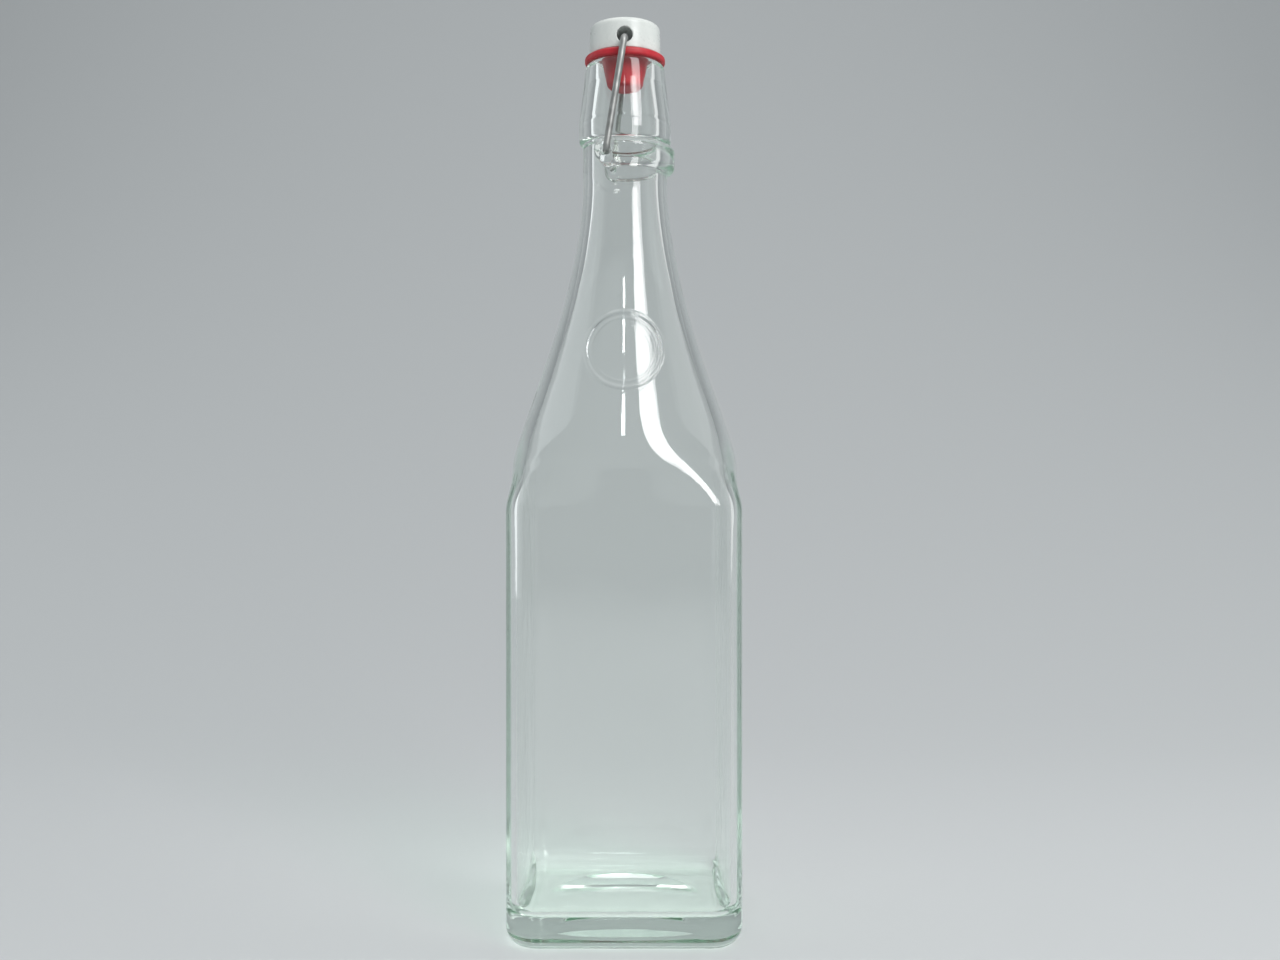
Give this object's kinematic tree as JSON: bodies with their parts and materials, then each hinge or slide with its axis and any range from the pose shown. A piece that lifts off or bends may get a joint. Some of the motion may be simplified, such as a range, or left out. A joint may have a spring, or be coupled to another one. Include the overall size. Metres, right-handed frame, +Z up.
{
  "type": "swing top bottle",
  "caption": "Square clear glass bottle with a tapering shoulder, closed by a rubber-sealed stopper that swings on a wire bail.",
  "frame": {"origin": "middle of the base, where the bottle stands", "axes": "+Z up along the bottle's axis, -Y towards the front face with the raised ring, -X the side that the stopper swings down on"},
  "size_m": [0.08, 0.08, 0.3201],
  "materials": {
    "glass": "clear, faint green tint",
    "wire": "drawn wire",
    "cap": "white, glossy",
    "rubber": "red, satin"
  },
  "bodies": {
    "bottle": {"bottle": "glass"},
    "bail": {"bail": "wire"},
    "stopper": {"stopper_cap": "cap", "gasket": "rubber"}
  },
  "joints": [
    {"name": "bail_swing", "type": "hinge", "parent": "bottle", "child": "bail", "pos_m": [-0.0064, 0, 0.2717], "axis": [0, -1, 0], "range_deg": [0, 135], "deforming": ["gasket"]},
    {"name": "stopper_tilt", "type": "hinge", "parent": "bail", "child": "stopper", "pos_m": [0, 0, 0.312], "axis": [0, -1, 0], "range_deg": [-81, 0]}
  ],
  "couplings": [
    {"joint": "stopper_tilt", "follows": "bail_swing", "ratio": -0.6}
  ]
}
